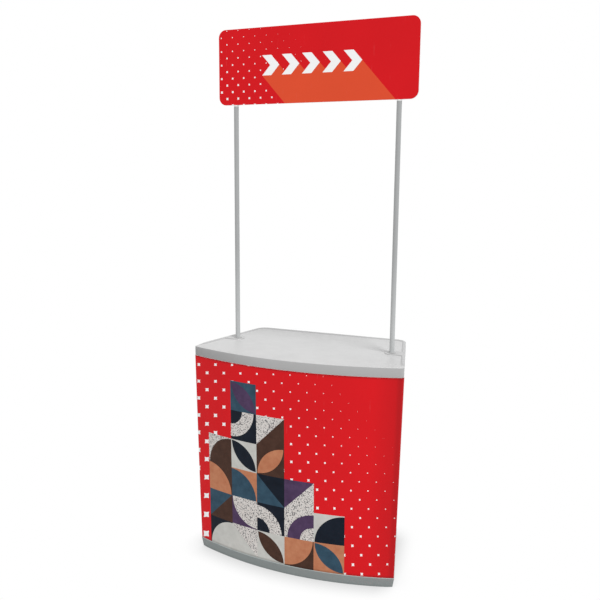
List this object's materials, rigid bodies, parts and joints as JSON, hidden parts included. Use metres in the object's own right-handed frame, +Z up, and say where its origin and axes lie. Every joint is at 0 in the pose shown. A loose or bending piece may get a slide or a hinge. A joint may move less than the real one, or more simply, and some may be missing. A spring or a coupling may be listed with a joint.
{
  "type": "exhibition counter",
  "caption": "Portable promotion counter with a bowed wrap-round panel, tray worktop, inner shelf open to the rear, and a flat header sign on tubular poles.",
  "frame": {"origin": "on the floor, under the middle of the counter's bounding box", "axes": "+Z up, +Y to the rear, so the bowed front faces -Y, and +X to the right as the public sees it"},
  "size_m": [0.8478, 0.5032, 2.0806],
  "materials": {
    "moulded_top": "light grey moulded plastic with a fine satin grain",
    "moulded_base": "mid grey moulded plastic, satin",
    "printed_panel": "plastic sheet with a printed red face, white inside",
    "printed_header": "foam-cored board with a printed red face",
    "grey_tube": "grey powder-coated tube, satin",
    "steel": "zinc-plated steel",
    "black_plastic": "black moulded plastic",
    "white_plastic": "white moulded plastic, satin",
    "shelf_board": "board faced with light grey laminate",
    "grip_band": "woven hook-and-loop band",
    "foam_tape": "double-sided foam tape",
    "foot_rubber": "moulded rubber"
  },
  "bodies": {
    "base": {"base_tray": "moulded_base", "foot_front_left": "foot_rubber", "foot_front_middle": "foot_rubber", "foot_front_right": "foot_rubber", "foot_rear_left": "foot_rubber", "foot_rear_middle": "foot_rubber", "foot_rear_right": "foot_rubber", "wrap_panel": "printed_panel", "rear_edge_strip_left": "white_plastic", "rear_edge_strip_right": "white_plastic", "lower_grip_band": "grip_band", "support_post_left": "grey_tube", "support_post_right": "grey_tube", "stop_collar_left": "black_plastic", "stop_collar_right": "black_plastic", "collar_screw_left": "black_plastic", "collar_screw_right": "black_plastic"},
    "shelf": {"shelf": "shelf_board", "shelf_sleeve_left": "white_plastic", "shelf_sleeve_right": "white_plastic", "sleeve_screw_left_1": "steel", "sleeve_screw_left_2": "steel", "sleeve_screw_left_3": "steel", "sleeve_screw_right_1": "steel", "sleeve_screw_right_2": "steel", "sleeve_screw_right_3": "steel"},
    "worktop": {"worktop": "moulded_top", "upper_grip_band": "grip_band", "socket_bush_left": "moulded_top", "socket_bush_right": "moulded_top"},
    "left_lower_pole": {"lower_pole_left": "grey_tube", "pole_joiner_left": "steel"},
    "left_upper_pole": {"upper_pole_left": "grey_tube", "header_holder_left": "white_plastic"},
    "right_lower_pole": {"lower_pole_right": "grey_tube", "pole_joiner_right": "steel"},
    "right_upper_pole": {"upper_pole_right": "grey_tube", "header_holder_right": "white_plastic"},
    "header": {"header_panel": "printed_header", "header_pocket_left": "white_plastic", "header_pocket_right": "white_plastic", "pocket_tape_left_inner": "foam_tape", "pocket_tape_left_outer": "foam_tape", "pocket_tape_right_inner": "foam_tape", "pocket_tape_right_outer": "foam_tape"}
  },
  "joints": [
    {"name": "worktop_lift", "type": "slide", "parent": "base", "child": "worktop", "axis": [0, 0, 1], "range_m": [0, 0.05]},
    {"name": "shelf_lift", "type": "slide", "parent": "base", "child": "shelf", "axis": [0, 0, 1], "range_m": [0, 0.3]},
    {"name": "left_pole_lift", "type": "slide", "parent": "worktop", "child": "left_lower_pole", "axis": [0, 0, 1], "range_m": [0, 0.055]},
    {"name": "right_pole_lift", "type": "slide", "parent": "worktop", "child": "right_lower_pole", "axis": [0, 0, 1], "range_m": [0, 0.055]},
    {"name": "left_upper_pole_lift", "type": "slide", "parent": "left_lower_pole", "child": "left_upper_pole", "axis": [0, 0, 1], "range_m": [0, 0.065]},
    {"name": "right_upper_pole_lift", "type": "slide", "parent": "right_lower_pole", "child": "right_upper_pole", "axis": [0, 0, 1], "range_m": [0, 0.065]},
    {"name": "header_lift", "type": "slide", "parent": "left_upper_pole", "child": "header", "axis": [0, 0, 1], "range_m": [0, 0.1]}
  ],
  "couplings": [
    {"joint": "right_pole_lift", "follows": "left_pole_lift", "ratio": 1},
    {"joint": "right_upper_pole_lift", "follows": "left_upper_pole_lift", "ratio": 1}
  ]
}
